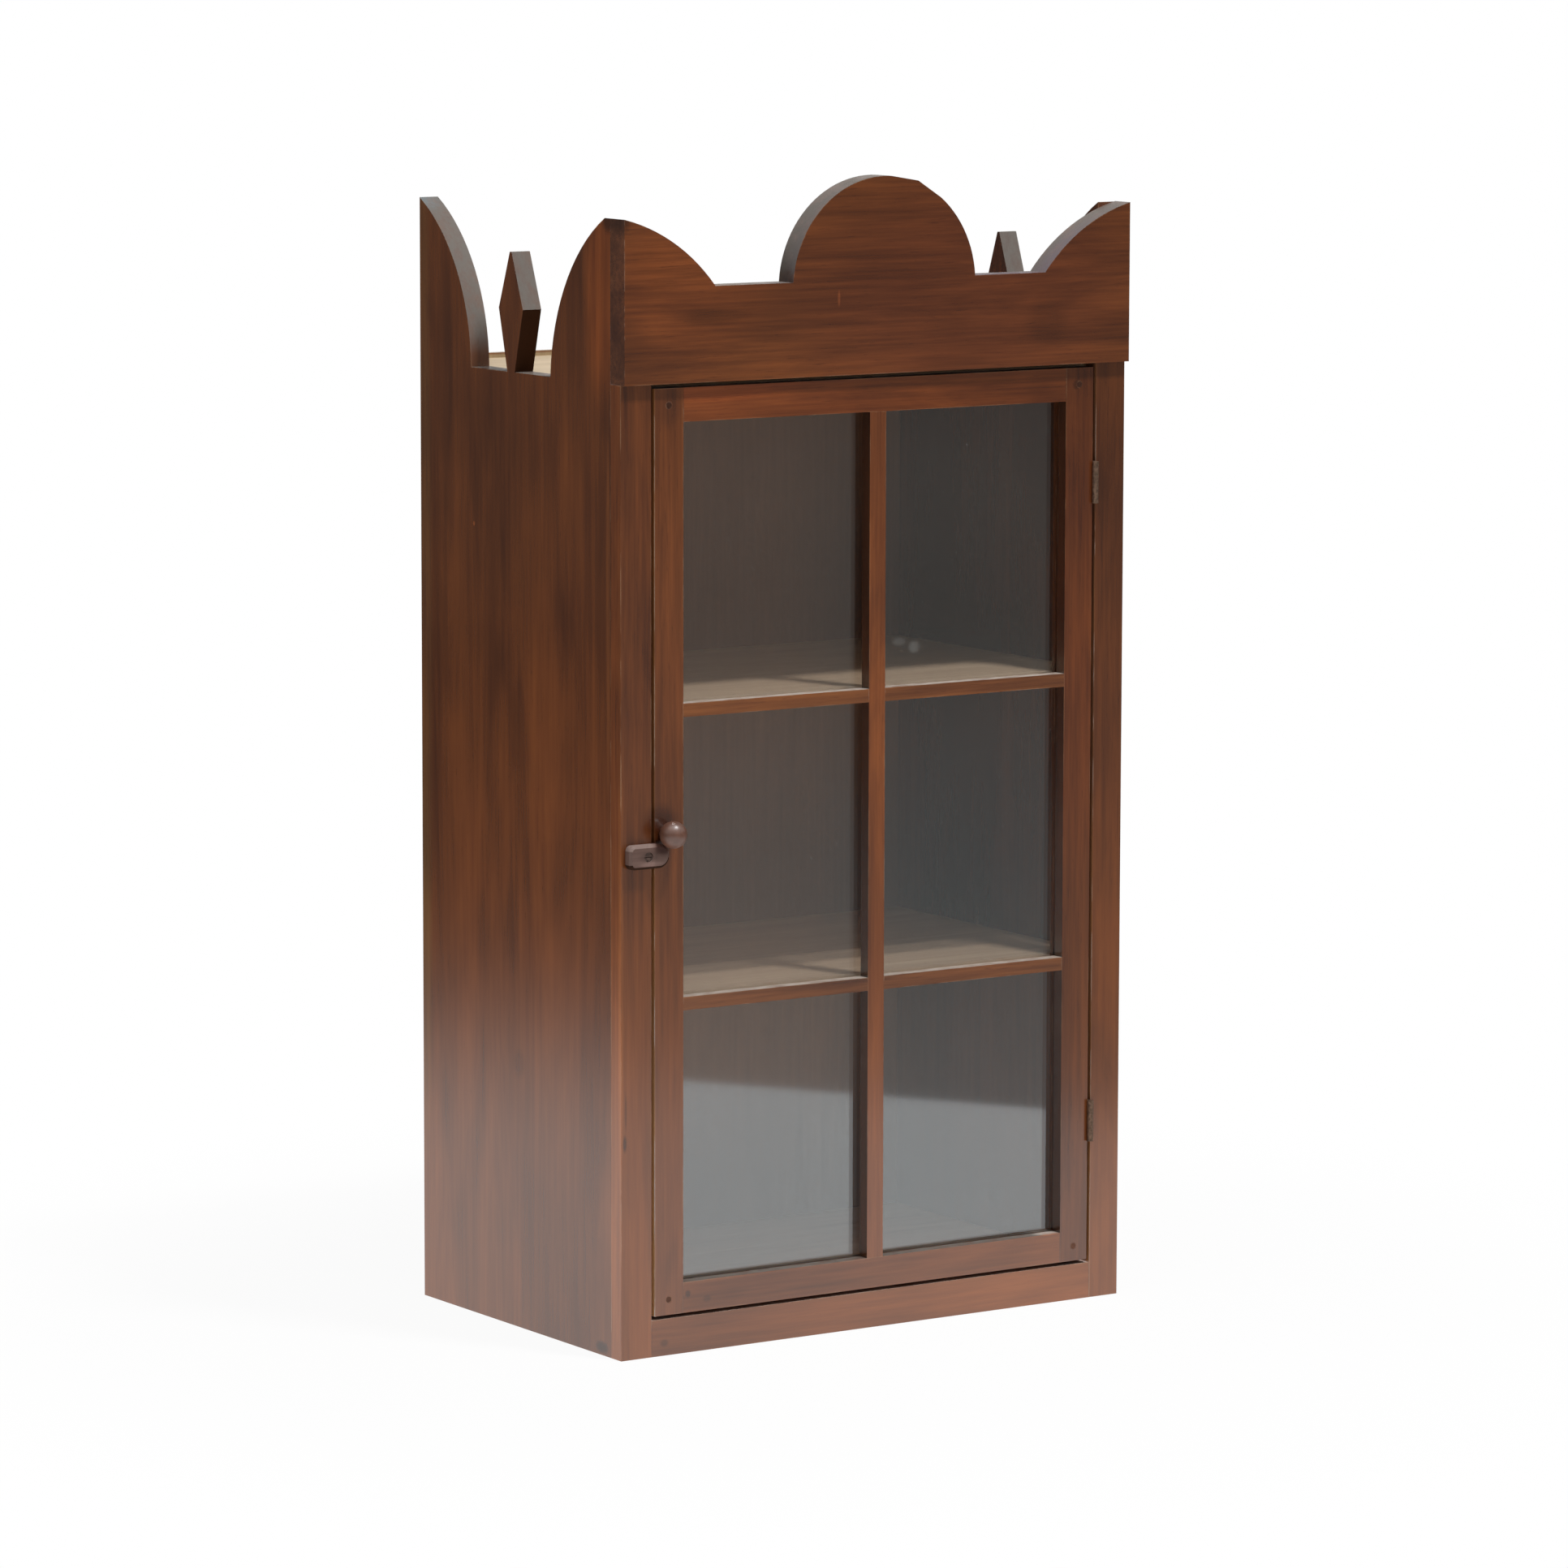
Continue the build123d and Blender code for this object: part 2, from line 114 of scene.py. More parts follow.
# Reflection of the glass seen square on, and the power by which it grows towards grazing.
GLASS_SHINE = 0.135
GRAZING_POWER = 5.0
GLASS_ROUGH = 0.045
SPECK_COVER = 0.10
HAZE_COVER, HAZE_LEAST = 0.003, 0.001
# Finger marks on the glass: centre and radii in metres, and strength.
SMEARS = (
    ((0.0216, -0.097, 0.4130), (0.0060, 0.01, 0.0035), 0.14),
    ((0.0324, -0.097, 0.4093), (0.0055, 0.01, 0.0050), 0.18),
    ((0.1290, -0.097, 0.5360), (0.0016, 0.01, 0.0045), 0.30),
)

# Gains of tarnished and of bright metal, and the noise levels that get them.
TARNISH_DARK, TARNISH_BRIGHT = 0.45, 1.3
TARNISH_STOPS = (0.35, 0.65)


# Node helpers


def new_tree(name):
    """A material with an empty node tree, and that tree."""
    material = bpy.data.materials.new(name)
    material.use_nodes = True
    material.node_tree.nodes.clear()
    return material, material.node_tree


def surface(tree, shader):
    """Makes a shader the surface of the tree's material."""
    output = tree.nodes.new("ShaderNodeOutputMaterial")
    tree.links.new(shader.outputs[0], output.inputs[0])


def feed(tree, socket, value):
    """Links an input to another node's output, or sets it to a value."""
    if isinstance(value, bpy.types.NodeSocket):
        tree.links.new(value, socket)
    elif socket.type == "RGBA":
        socket.default_value = (*value, 1.0)
    else:
        socket.default_value = value


def add(tree, kind, **inputs):
    """A node of that kind, with the inputs named."""
    node = tree.nodes.new(kind)
    for key, value in inputs.items():
        feed(tree, node.inputs[key.replace("_", " ")], value)
    return node


def math_node(tree, operation, a, b, c=0.0, clamp=False):
    """The number that the operation makes of a, b and, if it takes three, c."""
    node = tree.nodes.new("ShaderNodeMath")
    node.operation = operation
    node.use_clamp = clamp
    for socket, value in zip(node.inputs, (a, b, c)):
        feed(tree, socket, value)
    return node.outputs[0]


def vector_number(tree, operation, *vectors):
    """The number that the operation makes of vectors, such as a length."""
    node = tree.nodes.new("ShaderNodeVectorMath")
    node.operation = operation
    for socket, vector in zip(node.inputs, vectors):
        tree.links.new(vector, socket)
    return node.outputs["Value"]


def mix_colour(tree, factor, a, b, blend="MIX"):
    """Colour a, with b mixed in or blended over it by the factor."""
    node = tree.nodes.new("ShaderNodeMix")
    node.data_type = "RGBA"
    node.blend_type = blend
    for index, value in ((0, factor), (6, a), (7, b)):
        feed(tree, node.inputs[index], value)
    return node.outputs[2]


def mix_shader(tree, share, first, second):
    """The first shader, with that share of the second in its place."""
    node = add(tree, "ShaderNodeMixShader", Fac=share)
    tree.links.new(first.outputs[0], node.inputs[1])
    tree.links.new(second.outputs[0], node.inputs[2])
    return node


def glow(tree, colour, strength=1.0):
    """A shader that gives light of its own."""
    return add(tree, "ShaderNodeEmission", Color=colour, Strength=strength)


def ramp(tree, factor, stops):
    """A colour ramp with (position, colour) stops."""
    node = tree.nodes.new("ShaderNodeValToRGB")
    elements = node.color_ramp.elements
    while len(elements) < len(stops):
        elements.new(0.5)
    for element, (position, colour) in zip(elements, stops):
        element.position = position
        element.color = (*colour, 1.0)
    tree.links.new(factor, node.inputs[0])
    return node.outputs[0]


def level(tree, factor, start, end):
    """0 up to start and 1 from end on, smooth between; start may be the higher."""
    node = tree.nodes.new("ShaderNodeMapRange")
    node.interpolation_type = "SMOOTHSTEP"
    tree.links.new(factor, node.inputs[0])
    node.inputs[1].default_value = start
    node.inputs[2].default_value = end
    return node.outputs[0]


def axes(tree, vector):
    """X, Y and Z of a vector."""
    return tuple(add(tree, "ShaderNodeSeparateXYZ", Vector=vector).outputs)


def own_place(tree):
    """The place in the piece's own frame."""
    return tree.nodes.new("ShaderNodeTexCoord").outputs["Object"]


def own_normal(tree):
    """The normal in the piece's own frame."""
    return tree.nodes.new("ShaderNodeTexCoord").outputs["Normal"]


def height_above_floor(tree):
    """Height in metres, which no pose changes, as the door swings level."""
    place = tree.nodes.new("ShaderNodeNewGeometry").outputs["Position"]
    return axes(tree, place)[2]


def stretched_noise(tree, grain, stretch, scale, detail, seed, distortion=0.0):
    """Noise drawn out along the grain axis."""
    size = [1.0, 1.0, 1.0]
    size["XYZ".index(grain)] = 1 / stretch
    mapping = add(
        tree,
        "ShaderNodeMapping",
        Vector=own_place(tree),
        Scale=size,
        Location=(seed, 2 * seed, 3 * seed),
    )
    noise = add(
        tree,
        "ShaderNodeTexNoise",
        Vector=mapping.outputs[0],
        Scale=scale,
        Detail=detail,
        Roughness=NOISE_ROUGH,
        Distortion=distortion,
    )
    return noise.outputs[0]


def edge_mask(tree, radius):
    """1 on sharp edges and 0 away from them."""
    bevel = tree.nodes.new("ShaderNodeBevel")
    bevel.samples = 4
    bevel.inputs[0].default_value = radius
    normal = tree.nodes.new("ShaderNodeNewGeometry").outputs["Normal"]
    alike = vector_number(tree, "DOT_PRODUCT", bevel.outputs[0], normal)
    return math_node(tree, "SUBTRACT", 1.0, alike, clamp=True)


def patch_mask(tree, centre, radii):
    """1 at centre and 0 outside the ellipsoid of those radii, in the piece's own frame."""
    mapping = add(
        tree,
        "ShaderNodeMapping",
        Vector=own_place(tree),
        Location=[-c / r for c, r in zip(centre, radii)],
        Scale=[1 / r for r in radii],
    )
    return level(tree, vector_number(tree, "LENGTH", mapping.outputs[0]), 1.0, PATCH_CORE)


def gain_colour(tree, colour, mask, gain):
    """The colour times the gain where the mask is 1; a gain is one number or one per channel."""
    gains = gain if isinstance(gain, tuple) else (gain, gain, gain)
    return mix_colour(tree, mask, colour, gains, "MULTIPLY")


# Materials


def worn_and_lit_colour(tree, colour, tone, grain, seed, foot_light, sides):
    """The stain with painted floor light on its foot, worn edges, and lighter or darker sides.
    """
    # Painted light from the floor's bounce, growing towards the foot.
    foot = level(tree, height_above_floor(tree), *FOOT)
    pale, deep = ([k * c for c in STAIN_FOOT_LIT] for k in (FOOT_LIT_PALE, FOOT_LIT_DEEP))
    foot_lit = ramp(tree, tone, tuple(zip(FOOT_LIT_STOPS, (deep, pale))))
    colour = mix_colour(tree, math_node(tree, "MULTIPLY", foot, foot_light), colour, foot_lit)
    mask = level(tree, edge_mask(tree, WORN_WIDTH), 0.03, 0.30)
    rubbed = stretched_noise(tree, grain, stretch=3, scale=90, detail=3, seed=seed + 4)
    worn = math_node(tree, "MULTIPLY", mask, level(tree, rubbed, 0.46, 0.62))
    colour = mix_colour(tree, worn, colour, STAIN_WORN)
    # Sideways faces made lighter or darker, mostly painted light in the gaps beside the door,
    # painted shade beside the panes and painted sheen on the crest's end.
    across = axes(tree, own_normal(tree))[0]
    for direction, gain in zip((-1.0, 1.0), sides):
        if gain != 1.0:
            facing = math_node(tree, "MULTIPLY", across, direction)
            side = math_node(tree, "GREATER_THAN", facing, SIDEWAYS)
            colour = gain_colour(tree, colour, side, gain)
    return colour


def wood(
    name,
    grain,
    seed,
    dark,
    light,
    rough=0.42,
    varnish=0.0,
    coat_rough=0.18,
    streaky=0.33,
    foot_light=None,
    sides=(1.0, 1.0),
    dust=None,
    patches=(),
):
    """Wood whose grain runs along one axis, with figure, streaks, pores and stain blotches.

    streaky is how much of the tone is fine streaks, fade how strong the painted light from
    the floor is on the foot, sides the gains of the faces that look along -X and +X, mostly
    painted light and shade, dust the colour of the dust and painted sheen on faces that look
    up, and patches the places with a gain of their own, as in PATCHES.
    """
    material, tree = new_tree(name)
    figure = stretched_noise(
        tree, grain, stretch=9, scale=34, detail=5, seed=seed, distortion=0.9
    )
    streaks = stretched_noise(tree, grain, stretch=30, scale=330, detail=5, seed=seed + 1)
    pores = stretched_noise(tree, grain, stretch=16, scale=1100, detail=2, seed=seed + 2)
    blotch = stretched_noise(tree, grain, stretch=2.0, scale=8, detail=3, seed=seed + 3)
    base = TONE_BASE + STREAK_BASE * streaky
    tone = math_node(tree, "MULTIPLY_ADD", figure, FIGURE_WEIGHT, base)
    tone = math_node(tree, "MULTIPLY_ADD", streaks, STREAK_WEIGHT * streaky, tone)
    tone = math_node(tree, "MULTIPLY_ADD", blotch, BLOTCH_WEIGHT - streaky, tone)
    middle = MIDDLE_DARK * Vector(dark) + (1 - MIDDLE_DARK) * Vector(light)
    colour = ramp(tree, tone, tuple(zip(TONE_STOPS, (dark, middle, light))))
    pore_mask = level(tree, pores, *PORE_EDGES)
    colour = mix_colour(tree, math_node(tree, "MULTIPLY", pore_mask, PORE_DEPTH), colour, dark)
    if foot_light is not None:
        colour = worn_and_lit_colour(tree, colour, tone, grain, seed, foot_light, sides)
    coat = varnish
    # Faces that look down are made darker, and faces that look up get dust with painted sheen;
    # both lose some of their varnish.
    if dust:
        up = axes(tree, own_normal(tree))[2]
        under = level(tree, up, *UNDERSIDE_FACING)
        colour = mix_colour(tree, math_node(tree, "MULTIPLY", under, UNDERSIDE_DARK_COVER), colour, UNDERSIDE_DARK)
        speckle = stretched_noise(tree, grain, stretch=2, scale=160, detail=4, seed=seed + 5)
        speckle = level(tree, speckle, 0.30, 0.62)
        dust_and_sheen_amount = math_node(tree, "MULTIPLY_ADD", speckle, DUST_AND_SHEEN_SPECKLE, DUST_AND_SHEEN_COVER)
        dust_and_sheen_share = math_node(tree, "MULTIPLY", level(tree, up, *DUST_AND_SHEEN_FACING), dust_and_sheen_amount)
        colour = mix_colour(tree, dust_and_sheen_share, colour, dust)
        coated_share = math_node(tree, "SUBTRACT", 1.0, math_node(tree, "MAXIMUM", dust_and_sheen_share, under))
        coat = math_node(tree, "MULTIPLY", coated_share, varnish)
    for centre, radii, gain in patches:
        colour = gain_colour(tree, colour, patch_mask(tree, centre, radii), gain)
    height = math_node(tree, "SUBTRACT", math_node(tree, "MULTIPLY", streaks, 0.5), pore_mask)
    relief = add(tree, "ShaderNodeBump", Height=height, Strength=0.10, Distance=RELIEF_DEPTH)
    shader = add(
        tree,
        "ShaderNodeBsdfPrincipled",
        Base_Color=colour,
        Roughness=math_node(tree, "MULTIPLY_ADD", blotch, ROUGH_SLOPE, rough + ROUGH_BASE),
        Normal=relief.outputs[0],
        Specular_IOR_Level=0.0 if varnish else 0.3,
        Coat_Weight=coat,
        Coat_Roughness=coat_rough,
        Coat_IOR=VARNISH_IOR,
    )
    surface(tree, shader)
    return material


def glass(name):
    """Clear pane that reflects alike on both faces, with a film of dust and specks."""
    material, tree = new_tree(name)
    clear = add(tree, "ShaderNodeBsdfTransparent", Color=GLASS_CLEAR)
    shine = add(tree, "ShaderNodeBsdfGlossy", Color=GLASS_MIRROR, Roughness=GLASS_ROUGH)
    facing = add(tree, "ShaderNodeLayerWeight", Blend=0.5).outputs["Facing"]
    grazing = math_node(tree, "POWER", facing, GRAZING_POWER)
    grazing = math_node(tree, "MULTIPLY", grazing, 1 - GLASS_SHINE)
    share = math_node(tree, "ADD", GLASS_SHINE, grazing)
    pane = mix_shader(tree, share, clear, shine)
    specks = stretched_noise(tree, "Z", stretch=1.2, scale=700, detail=1, seed=7)
    specks = math_node(tree, "MULTIPLY", level(tree, specks, 0.70, 0.78), SPECK_COVER)
    haze = stretched_noise(tree, "Z", stretch=1.5, scale=14, detail=3, seed=8)
    haze = level(tree, haze, 0.30, 0.75)
    film = math_node(tree, "MULTIPLY_ADD", haze, HAZE_COVER, HAZE_LEAST)
    amount = math_node(tree, "ADD", specks, film)
    for centre, radii, strength in SMEARS:
        smear = math_node(tree, "MULTIPLY", patch_mask(tree, centre, radii), strength)
        amount = math_node(tree, "ADD", amount, math_node(tree, "MULTIPLY", smear, haze))
    dust = add(tree, "ShaderNodeBsdfDiffuse", Color=GLASS_DUST)
    surface(tree, mix_shader(tree, amount, pane, dust))
    return material


def metal(name, colour, rough, seed):
    """Dull, tarnished metal."""
    material, tree = new_tree(name)
    tarnish = stretched_noise(tree, "Z", stretch=1, scale=600, detail=4, seed=seed)
    dark, bright = ([k * c for c in colour] for k in (TARNISH_DARK, TARNISH_BRIGHT))
    shader = add(
        tree,
        "ShaderNodeBsdfPrincipled",
        Base_Color=ramp(tree, tarnish, tuple(zip(TARNISH_STOPS, (dark, bright)))),
        Metallic=0.75,
        Roughness=math_node(tree, "ADD", rough, math_node(tree, "MULTIPLY", tarnish, 0.2)),
    )
    surface(tree, shader)
    return material


# Materials of the CAD nodes

# Grain axis, tint, strength of the painted floor light on the foot, and gains of the faces that
# look along -X and +X, mostly painted light in the gaps beside the door, painted shade beside
# the panes and painted sheen on the crest's end.
STAINED = {
    "left_side_panel": ("Z", 0.88, 0.40, 1.0, 1.0),
    "right_side_panel": ("Z", 0.90, 0.40, 1.0, 1.0),
    "crest_board": ("X", 0.88, 0.0, (0.90, 1.12, 2.0), 1.0),
    "left_frame_stile": ("Z", 0.97, 0.75, 1.5, 1.0),
    "right_frame_stile": ("Z", 0.80, 0.55, (1.6, 2.0, 3.0), 1.0),
    "frame_bottom_rail": ("X", 0.95, 0.55, 1.0, 1.0),
    "door_latch_stile": ("Z", 0.84, 0.50, 1.7, 0.42),
    "door_hinge_stile": ("Z", 1.00, 0.05, 0.42, 1.0),
    # Its tint is partly painted light that lifts the crest's shadow off the rail.
    "door_top_rail": ("X", 1.42, 0.0, 1.0, 1.0),
    "door_bottom_rail": ("X", 0.95, 0.40, 1.0, 1.0),
    "door_vertical_muntin": ("Z", 1.27, 0.30, 0.28, 0.42),
    "door_upper_muntin": ("X", 1.35, 0.0, 0.42, 0.42),
    "door_lower_muntin": ("X", 1.25, 0.0, 0.42, 0.42),
    "bottom_glass_bead": ("X", 1.00, 0.0, 1.0, 1.0),
    "top_glass_bead": ("X", 1.00, 0.0, 1.0, 1.0),
    "left_glass_bead": ("Z", 1.00, 0.0, 1.0, 1.0),
    "right_glass_bead": ("Z", 1.00, 0.0, 1.0, 1.0),
}
# Pieces whose top faces get a paler colour than elsewhere: dust with painted light, which lifts
# the shade in the gap under the door and paints a highlight along the muntins' tops.
LEDGES = ("frame_bottom_rail", "door_upper_muntin", "door_lower_muntin")
# Grain axis, dark and light colour, and the colour painted on faces that look up.
BARE = {
    "back_panel": ("Z", BACK_DARK, BACK_LIGHT, BACK_LEDGE),
    "top_board": ("X", TOP_DARK, TOP_LIGHT, None),
    "bottom_board": ("X", SHELF_DARK, SHELF_LIGHT, None),
    "upper_shelf": ("X", SHELF_DARK, SHELF_LIGHT, None),
    "lower_shelf": ("X", SHELF_DARK, SHELF_LIGHT, None),
}
# Stain made darker round the knob and the turn button.
DARKER_ROUND_KNOB = (
    ((-0.153, -0.105, 0.318), (0.015, 0.03, 0.014), (0.54, 0.46, 0.42)),
    ((-0.1530, -0.105, 0.303), (0.010, 0.03, 0.011), (0.54, 0.46, 0.42)),
)
# Patches of a node that are lighter, darker or of another hue than the rest of it:
# centre and radii in metres, and gain. Those that are painted light or shade say so.
PATCHES = {
    "back_panel": [((0.0, 0.11715, 0.5753), (3.0, 0.0020, 0.0026), (1.6, 2.8, 3.8))],
    "door_upper_muntin": [((0.0, -0.105, 0.383), (3.0, 0.05, 0.05), (1.0, 1.17, 1.35))],
    "door_lower_muntin": [((0.0, -0.105, 0.209), (3.0, 0.05, 0.05), (1.0, 1.17, 1.35))],
    "left_side_panel": [
        ((-0.18, 0.055, 0.500), (0.02, 0.110, 0.180), 0.86),
        ((-0.18, -0.0912, 0.455), (0.02, 0.0026, 0.150), (1.45, 1.60, 1.70)),
        ((-0.18, -0.085, 0.630), (0.02, 0.024, 0.085), (2.1, 1.9, 1.5)),
        ((-0.18, -0.038, 0.415), (0.02, 0.040, 0.180), 1.12),
        ((-0.18, 0.119, 0.450), (0.02, 0.012, 0.400), (1.05, 1.40, 1.65)),
        ((-0.18, 0.119, 0.210), (0.02, 0.010, 0.150), (1.08, 1.28, 1.35)),
        ((-0.170, 0.064, 0.575), (0.012, 0.022, 0.036), 0.55),
        ((-0.18, 0.060, 0.4814), (0.02, 0.0014, 0.0018), 2.4),
        ((-0.18, 0.0095, 0.161), (0.02, 0.009, 0.012), 0.78),
        ((-0.18, -0.0836, 0.0048), (0.02, 0.009, 0.005), 0.30),
        ((-0.18, -0.092, 0.670), (0.03, 0.009, 0.010), 0.35),
    ],
    "left_frame_stile": [
        ((-0.18, -0.0938, 0.455), (0.001, 0.0009, 0.150), 0.55),
        # Painted highlight along the stile's front-left arris.
        ((-0.18, -0.1045, 0.270), (0.0024, 0.0040, 0.230), (1.35, 1.45, 1.45)),
        ((-0.1774, -0.105, 0.1296), (0.0018, 0.02, 0.007), 0.40),
        ((-0.1768, -0.105, 0.1480), (0.0011, 0.02, 0.016), 0.60),
        *DARKER_ROUND_KNOB,
    ],
    "door_latch_stile": [
        ((-0.1475, -0.105, 0.562), (0.0125, 0.02, 0.017), (0.74, 0.74, 0.88)),
        # Painted light on the door's edge in the gap beside the frame, further in at the foot.
        ((-0.1568, -0.10485, 0.300), (0.0006, 0.0045, 3.0), (1.25, 1.80, 2.60)),
        ((-0.1568, -0.1040, 0.020), (0.0006, 0.0060, 0.30), (1.25, 1.55, 2.1)),
        ((-0.1568, -0.1016, 0.020), (0.0006, 0.0032, 0.50), (2.2, 2.4, 2.6)),
        *DARKER_ROUND_KNOB,
    ],
    "door_hinge_stile": [
        ((0.147, -0.105, 0.430), (0.05, 0.02, 0.220), (1.04, 0.94, 0.86)),
        ((0.144, -0.105, 0.562), (0.003, 0.02, 0.004), 0.55),
        ((0.147, -0.105, 0.110), (0.03, 0.02, 0.30), 0.74),
    ],
    "door_top_rail": [
        ((0.0, -0.105, 0.562), (3.0, 0.05, 0.05), (0.99, 0.90, 0.84)),
        # Painted light that lifts the crest's shadow off the top of the rail.
        ((-0.110, -0.105, 0.5715), (0.075, 0.02, 0.011), (1.65, 1.50, 1.30)),
        ((0.060, -0.105, 0.564), (0.110, 0.02, 0.020), 0.82),
        ((0.130, -0.105, 0.560), (0.030, 0.02, 0.020), 0.80),
        ((-0.1368, -0.105, 0.562), (0.0005, 0.02, 0.02), 0.55),
        ((0.1368, -0.105, 0.562), (0.0005, 0.02, 0.02), 0.55),
    ],
    "door_bottom_rail": [
        # Painted light of the key lamp on the rail's top at the right of the lower right pane.
        ((0.129, -0.101, 0.0426), (0.012, 0.006, 0.0010), 2.6),
        ((-0.1335, -0.105, 0.0355), (0.0028, 0.02, 0.0030), 0.45),
        ((-0.1200, -0.105, 0.0310), (0.0040, 0.02, 0.0030), 0.70),
        ((-0.1150, -0.105, 0.0330), (0.0300, 0.02, 0.0120), 0.82),
        # Painted light on the rail's bottom face, in the gap above the frame's bottom rail.
        ((0.0, -0.098, 0.0242), (3.0, 0.0064, 0.0006), 4.0),
        ((-0.1368, -0.105, 0.033), (0.0005, 0.02, 0.02), 0.60),
        ((0.1368, -0.105, 0.033), (0.0005, 0.02, 0.02), 0.60),
    ],
    "crest_board": [
        ((0.060, -0.109, 0.620), (0.170, 0.02, 0.090), (0.97, 0.91, 1.12)),
        ((-0.0311, -0.109, 0.6204), (0.0013, 0.02, 0.006), 1.9),
        ((-0.138, -0.109, 0.6300), (0.075, 0.02, 0.055), (1.30, 1.22, 1.15)),
        ((0.000, -0.109, 0.6600), (0.055, 0.02, 0.040), 0.87),
        ((-0.1185, -0.109, 0.6131), (0.035, 0.02, 0.007), 0.70),
        ((0.119, -0.109, 0.600), (0.020, 0.02, 0.020), 0.80),
        ((-0.180, -0.103, 0.670), (0.006, 0.02, 0.010), 0.55),
    ],
    "right_frame_stile": [
        # Painted shadow round the foot of the upper hinge.
        ((0.165, -0.105, 0.489), (0.006, 0.02, 0.030), 0.80),
        # Painted light on the stile's edge in the gap beside the door.
        ((0.159, -0.10485, 0.300), (0.0006, 0.0045, 3.0), (1.3, 1.6, 2.0)),
    ],
    "frame_bottom_rail": [
        ((-0.150, -0.105, 0.0076), (0.004, 0.02, 0.003), 0.60),
        # Painted light on the rail's top in the gap under the door.
        ((0.0, -0.099, 0.022), (3.0, 0.0066, 0.0006), (2.3, 2.5, 3.0)),
        ((-0.159, -0.105, 0.011), (0.0005, 0.02, 0.02), 0.45),
        ((0.159, -0.105, 0.011), (0.0005, 0.02, 0.02), 0.45),
    ],
    "turn_button": [
        # Painted shade in the recess round the screw.
        ((-0.1645, -0.110, 0.2995), (0.0085, 0.02, 0.0042), 0.72),
        # Painted light along the lower edge.
        ((-0.1620, -0.110, 0.2950), (0.0120, 0.02, 0.0020), (1.50, 1.55, 1.60)),
        # Painted shadow of the knob on the end near it.
        ((-0.1540, -0.110, 0.3045), (0.0095, 0.02, 0.0065), (0.40, 0.27, 0.24)),
    ],
}


def dress(name, material):
    """Gives a CAD node its material."""
    nodes[name].data.materials.clear()
    nodes[name].data.materials.append(material)


for row, (name, (grain, tint, foot_light, *sides)) in enumerate(STAINED.items()):
    stain = wood(
        name + "_stain",
        grain,
        seed=row * 1.7,
        dark=[tint * c for c in STAIN_DARK],
        light=[tint * c for c in STAIN_LIGHT],
        varnish=1.0,
        streaky=0.20 if "side_panel" in name else 0.33,
        foot_light=foot_light,
        sides=sides,
        dust=LEDGE_DUST_AND_LIGHT if name in LEDGES else DUST_AND_SHEEN,
        patches=PATCHES.get(name, ()),
    )
    dress(name, stain)
for row, (name, (grain, dark, light, dust)) in enumerate(BARE.items()):
    bare = wood(
        name + "_bare",
        grain,
        seed=row + 50,
        dark=dark,
        light=light,
        rough=0.6,
        dust=dust,
        patches=PATCHES.get(name, ()),
    )
    dress(name, bare)
dress(
    "door_joint_pegs",
    wood("peg_stain", "Y", seed=31, dark=PEG_DARK, light=PEG_LIGHT, varnish=0.3, foot_light=0.2),
)
dress(
    "door_knob",
    wood(
        "knob_stain",
        "Y",
        seed=33,
        dark=KNOB_DARK,
        light=KNOB_LIGHT,
        varnish=0.75,
        coat_rough=0.37,
    ),
)
dress(
    "turn_button",
    wood(
        "turn_button_stain",
        "X",
        seed=35,
        dark=BUTTON_DARK,
        light=BUTTON_LIGHT,
        varnish=0.25,
        coat_rough=0.4,
        # Its top faces get dust with painted sheen.
        dust=BUTTON_TOP_DUST_AND_SHEEN,
        patches=PATCHES["turn_button"],
    ),
)
dress("door_glass", glass("pane"))
brass = metal("dull_brass", BRASS_DULL, rough=0.45, seed=3)
for side in ("upper", "lower"):
    for part in ("frame_leaf", "door_leaf", "pin"):
        dress(f"{side}_hinge_{part}", brass)
dress("turn_button_screw", metal("dark_steel", STEEL_DARK, rough=0.5, seed=5))


# Hinge screws

SCREW_HEAD = 3.4 * MM
SCREW_SUNK = 0.6 * MM
SCREW_PROUD = 0.07 * MM
SCREW_SHOULDER = 0.6 * SCREW_PROUD
SCREW_SLOT = 0.55 * MM
SLOT_FLOOR = 0.01 * MM
# The head's rounded top and the slot's floor, as shares of the head's diameter.
SCREW_TOP = 0.95
SLOT_LENGTH = 0.97
SCREW_STEPS = 18
SCREW_PITCH = 15.0 * MM
# From the back edge of the leaf to the screws.
SCREW_INSET = 3.7 * MM


def link_object(name, data):
    """An object in the scene that shows the data."""
    item = bpy.data.objects.new(name, data)
    bpy.context.scene.collection.objects.link(item)
    return item


